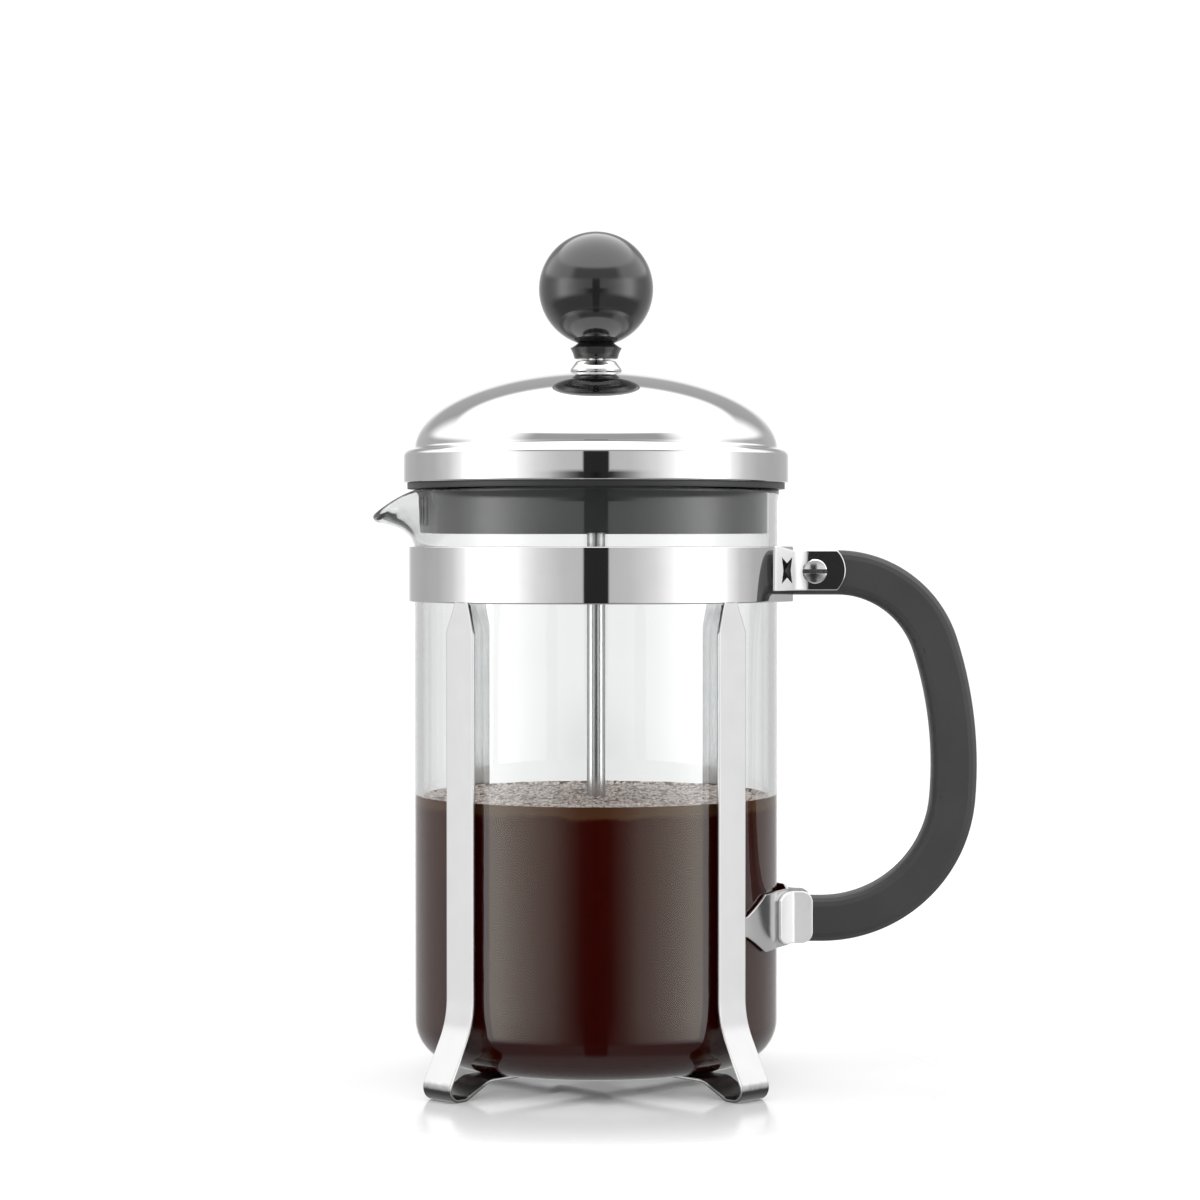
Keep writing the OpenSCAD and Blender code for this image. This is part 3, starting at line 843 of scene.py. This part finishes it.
def apply_modifiers(piece):
    """Gives the piece the mesh that its modifiers make, without the modifiers."""
    depsgraph = bpy.context.evaluated_depsgraph_get()
    mesh = bpy.data.meshes.new_from_object(piece.evaluated_get(depsgraph))
    old = piece.data
    piece.modifiers.clear()
    piece.data = mesh
    bpy.data.meshes.remove(old)


def make_ear(material, press_shade, side):
    """Side plate from the band out along the handle: front for side 1, rear for -1."""
    root = (BAND_OUT * math.cos(rad(BAND_AZIMUTH)), -BAND_OUT * math.sin(rad(BAND_AZIMUTH)))
    corner = (BUMP_X, -BUMP_HALF)
    path = resample(plate_path(root, corner, EAR_END_X, -EAR_OVERLAP, 5.0), 0.8)
    path = end_steps(path, EAR_END_X - 3, EAR_END_X, 14)
    vertices, faces = bent_sheet(path, ear_limits, SHEET_T)
    name = "ear_front" if side > 0 else "ear_rear"
    ear = add_piece(name + "_plate", vertices, faces, material, "frame", name, sharp=35)
    merge_flats(ear)
    ux, uy = direction(root, corner)
    reach, lift = 5.4, SHEET_T + FACE_GAP
    star = (root[0] + ux * reach + uy * lift, root[1] + uy * reach - ux * lift, EAR_Z)
    # the star's cut faces take a dark plate: painted shade in the press mark
    ear.data.materials.append(press_shade)
    cut_away(ear, star_cutter(star, (ux, uy), press_shade))
    if side < 0:
        mirror_y(ear)
    round_edges(ear, 0.34)
    # else the band shows a bright second ear beside the real one
    ear.visible_glossy = False


def make_screw(material):
    """Domed screw head with a straight slot, on a plain shank."""
    face_y = -(LUG_HALF + SHEET_T)
    shank_r, tail = 1.95, 2 * face_y - 3
    cap_r, slope, rim_r = 14, 11.8, 0.5
    cap_z = SCREW_HEAD_H - cap_r
    rim_z = cap_z + (cap_r - rim_r) * math.cos(rad(slope))
    rim = arc(SCREW_HEAD_R - rim_r, rim_z, rim_r, 0, 90 - slope, 8)
    cap = arc(0, cap_z, cap_r, 90 - slope, 90, 20)[1:-1] + [(0, SCREW_HEAD_H)]
    under = [(shank_r, 0), (SCREW_HEAD_R - 0.12, 0), (SCREW_HEAD_R, 0.12)]
    vertices, faces = lathe([(0, tail), (shank_r, tail)] + under + rim + cap, 96)
    turned = [(SCREW_X + x, face_y - z, SCREW_Z + y) for x, y, z in vertices]
    screw = add_piece("screw", turned, faces, material, "frame", "handle_screw", sharp=35)
    cut_away(screw, slot_cutter((SCREW_X, face_y - SCREW_HEAD_H - 0.1, SCREW_Z), (9, 1.8, 1.15)))
    round_edges(screw, 0.07, 2, 50)
    screw.visible_glossy = False


def cut_away(piece, cutter):
    """Takes the cutter's shape out of the piece; the cut faces get the cutter's material."""
    cut = piece.modifiers.new("cut", "BOOLEAN")
    cut.operation = "DIFFERENCE"
    cut.solver = "EXACT"
    cut.material_mode = "TRANSFER"
    cut.object = cutter
    apply_modifiers(piece)
    bpy.data.objects.remove(cutter)


def mirror_y(piece):
    with edited(piece.data) as bm:
        for v in bm.verts:
            v.co.y = -v.co.y
        bmesh.ops.reverse_faces(bm, faces=bm.faces)


def saddle_limits(x, y):
    """The saddle strip's lowest and highest z: wide at the handle, narrow towards the legs."""
    half = taper(abs(y), SADDLE_TAPER_FROM, SADDLE_TAPER_TO, SADDLE_HALF, SADDLE_TIP_HALF)
    return SADDLE_Z - half, SADDLE_Z + half


def make_saddle(material):
    """Strip inside the two legs on the handle's side, with a bump for the clips."""
    r = (SADDLE_IN + SADDLE_OUT) / 2
    x = SADDLE_BUMP_X - SADDLE_T / 2
    root = (r * math.cos(rad(SADDLE_AZIMUTH)), r * math.sin(rad(SADDLE_AZIMUTH)))
    side = fillet([(x, 0), (x, BUMP_HALF - 0.1), root], [0, 1.5, 0], 8)
    half = side[:-1] + arc(0, 0, r, SADDLE_AZIMUTH, SADDLE_END_AZIMUTH, 24)
    path = [(px, -py) for px, py in half[::-1]] + half[1:]
    vertices, faces = bent_sheet(resample(path, 1.0), saddle_limits, SADDLE_T)
    saddle = add_piece("saddle", vertices, faces, material, "frame", "saddle_strip", sharp=35)
    round_edges(saddle, 0.2)


def make_clip(material, side):
    """Cheek from the saddle strip out along the handle's lower end: front for side 1, rear for -1."""
    root = (SADDLE_OUT * math.cos(rad(SADDLE_AZIMUTH)), -SADDLE_OUT * math.sin(rad(SADDLE_AZIMUTH)))
    path = plate_path(root, (SADDLE_BUMP_X, -BUMP_HALF), CLIP_END_X, 0.3, 1.3)
    path = resample(path, 0.5)
    low_x = root[0] + 0.7
    r = CLIP_CORNER_R
    path = [p for p in path if p[0] > low_x + 0.02]
    path = end_steps(path, CLIP_END_X - r, CLIP_END_X, 10)

    def limits(x, y):
        near = min(x - low_x, CLIP_END_X - x)
        cut = 0 if near >= r else r - math.sqrt(max(r * r - (r - near) ** 2, 0))
        half = CLIP_H / 2 - cut
        return CLIP_Z - half, CLIP_Z + half

    vertices, faces = bent_sheet(path, limits, SHEET_T)
    name = "clip_front" if side > 0 else "clip_rear"
    clip = add_piece(name + "_plate", vertices, faces, material, "frame", name, sharp=35)
    merge_flats(clip)
    if side < 0:
        mirror_y(clip)
    round_edges(clip, 0.3)


def strap_half(dip):
    """Half of a strap's middle line as (distance from the axis, z), from the band down and in to the axis."""
    lean = rad(LEG_LEAN)
    side = LEG_LEAN_Z - LEG_CURVE_R * math.sin(lean)
    foot_z = FOOT_R + STRAP_T / 2
    run = (side - foot_z - FOOT_R * math.sin(lean)) / math.cos(lean)
    foot_x = LEG_MID + LEG_CURVE_R * (1 - math.cos(lean)) + run * math.sin(lean) - FOOT_R * math.cos(lean)
    sole_x = foot_x - FOOT_FLAT
    flat_z = BASE_Z - STRAP_T / 2
    rise = rad(SOLE_RISE)
    climb = flat_z - STRAP_T / 2 - (FOOT_R + SOLE_CURVE_R) * (1 - math.cos(rise))
    top_x = sole_x - FOOT_R * math.sin(rise) - climb / math.tan(rise) - SOLE_CURVE_R * math.sin(rise)
    eases = [(i / 12, (1 - math.cos(math.pi * i / 12)) / 2) for i in range(13)]
    path = [(BAND_MID, BAND_Z + 0.3)]
    path += [(BAND_MID + (LEG_MID - BAND_MID) * ease, BAND_Z - JOGGLE_L * share) for share, ease in eases]
    path += arc(LEG_MID + LEG_CURVE_R, LEG_LEAN_Z, LEG_CURVE_R, 180, 180 + LEG_LEAN, 24)
    path += arc(foot_x, foot_z, FOOT_R, LEG_LEAN, -90, 20)
    path += arc(sole_x, foot_z, FOOT_R, -90, -90 - SOLE_RISE, 8)
    path += arc(top_x, flat_z - SOLE_CURVE_R, SOLE_CURVE_R, 90 - SOLE_RISE, 90, 8)
    if dip:
        path += [(CROSSING_HALF - 6 * share, flat_z - dip * ease) for share, ease in eases]
    return path


def make_strap(name, node, azimuth, dip, material):
    """One long strap: a front leg, the bar under the glass and the opposite rear leg."""
    half = strap_half(dip)
    path = resample(half + [(-x, z) for x, z in half[::-1]], 6)
    ca, sa = math.cos(rad(azimuth)), math.sin(rad(azimuth))
    rings = []
    for (x, z), (nx, nz) in zip(path, path_normals(path)):
        neck = min(max((BAND_Z - z) / NECK_L, 0), 1)
        width = NECK_W + (STRAP_W - NECK_W) * neck
        ring = []
        for u, w in rounded_section(STRAP_T, -width / 2, width / 2, 0.2):
            px, pz = x + nx * u, z + nz * u
            ring.append((px * ca - w * sa, px * sa + w * ca, pz))
        rings.append(ring)
    vertices, faces = loft(rings)
    add_piece(name, vertices, faces, material, "frame", node, sharp=35)


# ---- lid and plunger ----


def make_dome(material):
    """Spun dome: upright skirt with a rolled hem, a small step, then a smooth crown."""
    step_z = DOME_Z + SKIRT_H
    r = LID_R - 3
    outer = [(LID_R - 0.45, DOME_Z)] + arc(LID_R - 0.45, DOME_Z + 0.45, 0.45, -70, 0, 5)
    outer += [(LID_R, step_z - 4)] + arc(LID_R - 2, step_z - 2, 2, 0, 84, 10)
    outer += [(r + 0.5, step_z + 0.05)]
    crown = [(r * math.cos(a), step_z + DOME_H * math.sin(a))
             for a in (rad(90 * i / 60) for i in range(1, 60))]
    crown = [(cr, cz) for cr, cz in crown if cr > DOME_HOLE_R + 0.2]
    outer += crown + [(DOME_HOLE_R, step_z + DOME_H - 0.07)]
    inner = [(DOME_HOLE_R, step_z + DOME_H - DOME_T)]
    for cr, cz in crown[::-1]:
        d = Vector((cr / r ** 2, (cz - step_z) / DOME_H ** 2)).normalized()
        inner.append((cr - d.x * DOME_T, cz - d.y * DOME_T))
    inner += [(LID_R - 2.6, step_z - DOME_T), (LID_R - DOME_T, step_z - 2.4), (LID_R - DOME_T, DOME_Z)]
    vertices, faces = lathe(outer + inner, 180)
    add_piece("dome", vertices, faces, material, "lid", "lid_dome", sharp=50)


def make_bush(material):
    """Guide for the rod: a barrel through the dome under a stepped head."""
    low, high = (c * 1000 for c in (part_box("rod_bush")[0][2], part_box("rod_bush")[1][2]))
    head = high - 3
    profile = [(ROD_R + 0.08, low), (3.9, low), (4, low + 0.2), (4, head)]
    profile += [(6.7, head)] + arc(6.7, head + 0.3, 0.3, -90, 0, 4)
    profile += [(6.9, head + 0.8), (5.9, head + 2.2)] + arc(5.0, head + 2.3, 0.7, 20, 90, 6)
    profile += [(ROD_R + 0.4, high), (ROD_R + 0.08, high - 0.3)]
    vertices, faces = lathe(profile, 96)
    add_piece("bush", vertices, faces, material, "lid", "rod_bush", sharp=40)


def make_knob(material):
    """Ball knob on a small flared neck, hollow below for its insert."""
    low, high = (c * 1000 for c in (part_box("knob")[0][2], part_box("knob")[1][2]))
    centre = high - BALL_R
    profile = [(4, low), (5.4, low)] + arc(5.4, low + 0.6, 0.6, -90, 0, 5)
    profile += [(6.3, low + 1.6), (7.0, low + 3.0)]
    start = math.degrees(math.asin((low + 4.3 - centre) / BALL_R))
    profile += arc(0, centre, BALL_R, start, 90, 60)[:-1] + [(0, high)]
    profile += [(0, low + 14), (4, low + 14)]
    vertices, faces = lathe(profile, 128)
    add_piece("ball_knob", vertices, faces, material, "plunger", "knob", sharp=50)


def make_spring(material):
    """The filter's edge spring: one long coil bent into a ring."""
    coil_r, wire_r = 1.55, 0.34
    turns, steps, sides = 210, 12, 6
    count = turns * steps
    points = []
    for i in range(count):
        a = 2 * math.pi * i / count
        b = 2 * math.pi * i / steps
        r = SPRING_R + coil_r * math.cos(b)
        points.append(Vector((r * math.cos(a), r * math.sin(a), SPRING_Z + coil_r * math.sin(b))))
    rings = []
    for i, p in enumerate(points):
        tangent = (points[(i + 1) % count] - points[i - 1]).normalized()
        centre = Vector((SPRING_R * p.x, SPRING_R * p.y, 0)) / math.hypot(p.x, p.y) + Vector((0, 0, SPRING_Z))
        out = p - centre
        out = (out - tangent * out.dot(tangent)).normalized()
        side = tangent.cross(out)
        angles = [2 * math.pi * k / sides for k in range(sides)]
        rings.append([tuple(p + (out * math.cos(a) + side * math.sin(a)) * wire_r) for a in angles])
    vertices, faces = loft(rings, True)
    add_piece("coil_spring", vertices, faces, material, "plunger", "edge_spring", sharp=70)


def make_gauze(material):
    """Gauze disc with its edge turned up and slightly wavy."""
    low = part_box("filter_mesh")[0][2] * 1000
    high, bend_r, hole_r = low + GAUZE_TURN_UP, 1.6, 2.05
    bend = (GAUZE_R - bend_r, low + bend_r)
    outer = [(hole_r, low), (20, low), (40, low)] + arc(*bend, bend_r, -90, 0, 8) + [(GAUZE_R, high)]
    inner = [(GAUZE_R - GAUZE_T, high)] + arc(*bend, bend_r - GAUZE_T, 0, -90, 8)
    inner += [(40, low + GAUZE_T), (20, low + GAUZE_T), (hole_r, low + GAUZE_T)]
    vertices, faces = lathe(outer + inner, 240)
    waved = []
    for x, y, z in vertices:
        lift = min(max((z - low - 1) / (GAUZE_TURN_UP - 1), 0), 1)
        a = math.atan2(y, x)
        squeeze = 1 - 0.006 * lift * (1 + math.sin(31 * a + math.sin(5 * a)))
        waved.append((x * squeeze, y * squeeze, z))
    add_piece("gauze", waved, faces, material, "plunger", "filter_mesh", sharp=50)


def soft_edges(name, node, width, material, body):
    """A copy of a node whose sharp edges are rounded a little."""
    mesh = nodes[node].data.copy()
    mesh.name = name
    with edited(mesh) as bm:
        bmesh.ops.remove_doubles(bm, verts=bm.verts, dist=1e-6)
        bmesh.ops.dissolve_limit(bm, angle_limit=rad(1), verts=bm.verts, edges=bm.edges)
        sharp = [e for e in bm.edges if len(e.link_faces) == 2 and e.calc_face_angle(0) > rad(35)]
        bmesh.ops.bevel(bm, geom=sharp, offset=width * MM, segments=2, profile=0.5, affect="EDGES",
                        clamp_overlap=True)
    mesh.materials.clear()
    mesh.materials.append(material)
    if "custom_normal" in mesh.attributes:
        mesh.attributes.remove(mesh.attributes["custom_normal"])
    smooth_by_angle(mesh, 30)
    piece = place(name, mesh)
    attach(piece, body)
    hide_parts(node)


# ---- studio ----

SIDE_PEAK = 2.6
# radiance round the horizon, by degrees from the direction towards the camera
SIDES = [(0, 0.70), (8, 0.73), (20, 0.77), (28, 0.90), (36, 1.06), (45, 1.4), (55, 1.9), (63, 2.4), (72, 2.6),
         (79, 2.2), (88, 1.35), (98, 0.88), (112, 0.64), (131, 0.57), (158, 0.62), (168, 0.9), (173, 1.05),
         (180, 1.05)]
BACKDROP = 1.06
OVERHEAD = 2.3
CEILING = 0.5
BOX_TOP = 1.6
# the card and the table, in mirrored rays only
CARD_HALF = 7.6
CARD_DARKNESS = 0.96
UNDER_GLASS_SHADE = 0.9
TABLE_BELOW = 0.32
TABLE_LIT = 0.6
THROUGH_GLASS_LOSS = 0.11
THROUGH_GLASS_EVENS = 0.5
FLOOR_HALF_M = 0.9


def make_world():
    """A studio by direction: two tall soft boxes, a pale backdrop, an overhead light and a dark camera stand.
    Only mirrored rays meet the stand, the card and the darker table."""
    world = bpy.data.worlds.new("studio")
    world.use_nodes = True
    tree = world.node_tree
    s = Shader(tree)
    background = tree.nodes["Background"]
    x, y, z = s.split(tree.nodes.new("ShaderNodeTexCoord").outputs["Generated"])
    signed = s.math("MULTIPLY", s.math("ARCTAN2", x, s.math("MULTIPLY", y, -1.0)), 1 / math.pi)
    turn = s.math("ABSOLUTE", signed)
    height = s.math("MULTIPLY_ADD", s.math("ARCSINE", z), 1 / math.pi, 0.5)

    def level(degrees):
        return 0.5 + degrees / 180

    path = tree.nodes.new("ShaderNodeLightPath")
    mirror = s.math("GREATER_THAN", path.outputs["Glossy Depth"], 0.5)
    through = s.math("MULTIPLY", path.outputs["Is Transmission Ray"], s.math("SUBTRACT", 1.0, mirror))
    open_sides = s.math("MULTIPLY", s.ramp(turn, [(a / 180, v / SIDE_PEAK) for a, v in SIDES]), SIDE_PEAK)

    # lower down the middle is darker, as under a camera stand
    stand = s.ramp(turn, [(0, 0.98), (9 / 180, 0.94), (16 / 180, 0.70), (28 / 180, 0.15), (40 / 180, 0.0)])
    stand_band = s.ramp(height, [(level(-3.4), 1), (level(-2.4), 0)])
    card = s.ramp(turn, [((CARD_HALF - 0.3) / 180, CARD_DARKNESS), ((CARD_HALF + 0.3) / 180, 0)])
    card_band = s.ramp(height, [(level(20), 1), (level(28), 0)])
    shade = s.math("MAXIMUM", s.math("MULTIPLY", stand, stand_band), s.math("MULTIPLY", card, card_band))
    sides = s.math("MULTIPLY", open_sides, s.math("SUBTRACT", 1.0, s.math("MULTIPLY", shade, mirror)))
    sides = s.math("MULTIPLY_ADD", s.math("MULTIPLY", through, THROUGH_GLASS_EVENS),
                   s.math("SUBTRACT", BACKDROP, sides), sides)

    low = s.math("MULTIPLY", s.ramp(height, [(level(-18), 1), (level(-10), 0)]), mirror)
    box_tops = s.ramp(turn, [(40 / 180, 0), (62 / 180, 1), (125 / 180, 1), (150 / 180, 0)], ease=True)
    upper = s.math("MULTIPLY_ADD", box_tops, BOX_TOP - CEILING, CEILING)
    ring = s.ramp(height, [(level(12), 0), (level(20), 1)], ease=True)
    top = s.ramp(height, [(level(34), 0), (level(42), 1)], ease=True)
    behind = s.ramp(turn, [(95 / 180, 0), (125 / 180, 1)], ease=True)
    steep = s.ramp(height, [(level(-50), 1), (level(-36), 0)], ease=True)
    table = s.math("MULTIPLY_ADD", s.math("MAXIMUM", behind, steep), TABLE_LIT - TABLE_BELOW, TABLE_BELOW)
    card_foot = s.math("MULTIPLY", card, s.ramp(height, [(level(-50), 0), (level(-36), 0.9)]))
    under_glass = s.math("MULTIPLY", path.outputs["Is Transmission Ray"], mirror)
    under_glass = s.math("MULTIPLY", under_glass, UNDER_GLASS_SHADE)
    table_shade = s.math("MAXIMUM", card_foot, under_glass)
    table = s.math("MULTIPLY", table, s.math("SUBTRACT", 1.0, table_shade))
    value = s.mix(low, s.join(sides, sides, sides), s.join(table, table, table))
    value = s.mix(ring, value, s.join(upper, upper, upper))
    value = s.mix(top, value, grey(OVERHEAD))
    value = s.mix(s.math("MULTIPLY", through, THROUGH_GLASS_LOSS), value, grey(0.0))
    value = s.mix(path.outputs["Is Camera Ray"], value, grey(BACKDROP))
    s.put(value, background.inputs["Color"])
    scene.world = world


def make_floor(material):
    """A white table top, hidden from mirror reflections and from what is seen through the glass."""
    mesh = bpy.data.meshes.new("floor")
    with edited(mesh) as bm:
        bmesh.ops.create_grid(bm, x_segments=24, y_segments=24, size=FLOOR_HALF_M)
    floor = place("floor", mesh)
    mesh.materials.append(material)
    floor.visible_glossy = False
    floor.visible_transmission = False


# ---- build ----


def paint(node, material):
    data = nodes[node].data
    data.materials.clear()
    data.materials.append(material)


make_camera()
make_world()
make_floor(studio_floor("table_white"))
scene.view_settings.view_transform = "Standard"
scene.view_settings.look = "None"

chrome = plated_metal("chrome_plate", 0.66, 0.035)
chrome_clip = plated_metal("chrome_satin", 0.86, 0.36, metallic=0.45)
ear_chrome = stamped_chrome("chrome_stamped", (0.95, 0.5, 0.6), (0.72, 0.07, 1.0), 56.2, 57.2)
# dark plate for the press mark's faces: painted shade in the recess, not another metal
press_mark_painted_shade = plated_metal("chrome_press_mark_painted_shade", 0.13, 0.25)
nickel = plated_metal("nickel_plate", 0.86, 0.14)
# the straps' steel carries painted contact shade on its lowest 5.2 mm
strip_steel = plated_metal("strip_steel", 0.60, 0.17, ripple_mm=0.004, shade_below=5.2)
filter_steel = brushed_metal("stainless_sheet", 0.55, 0.26)
rod_steel = brushed_metal("stainless_rod", 0.60, 0.14, (1, 1, 6))
wire_steel = brushed_metal("stainless_wire", 0.58, 0.2, (1, 1, 1), 0.1)
handle_plastic = moulded_plastic("handle_matte_black", (0.033, 0.033, 0.034), 0.52, 0.16, 0.012)
liner_plastic = moulded_plastic("liner_satin_black", (0.020, 0.020, 0.021), 0.4, 0.14, 0.0015)
knob_plastic = moulded_plastic("knob_gloss_black", (0.012, 0.012, 0.013), 0.12, 4.0, 0.006, coat=0.6)

make_beaker(clear_glass("beaker_glass"))
make_coffee(brewed_coffee("brewed_coffee"))
make_foam(coffee_foam("coffee_foam"))
make_band(chrome)
make_ear(ear_chrome, press_mark_painted_shade, 1)
make_ear(ear_chrome, press_mark_painted_shade, -1)
make_strap("strap_upper", "leg_strap_upper", LEG_AZIMUTH, 0, strip_steel)
make_strap("strap_lower", "leg_strap_lower", -LEG_AZIMUTH, STRAP_T, strip_steel)
make_saddle(strip_steel)
make_clip(chrome_clip, 1)
make_clip(chrome_clip, -1)
make_dome(chrome)
make_bush(chrome)
make_knob(knob_plastic)
make_spring(wire_steel)
make_gauze(woven_gauze("wire_gauze"))
make_screw(nickel)
soft_edges("cap_nut", "handle_nut", 0.2, nickel, "frame")
soft_edges("lid_insert", "lid_liner", 0.25, liner_plastic, "lid")
soft_edges("lock_nut", "bush_nut", 0.2, nickel, "lid")
paint("handle", handle_plastic)
paint("knob_insert", turned_brass("turned_brass"))
paint("plunger_rod", rod_steel)
paint("rod_collar", rod_steel)
paint("spiral_plate", filter_steel)
paint("cross_plate", filter_steel)
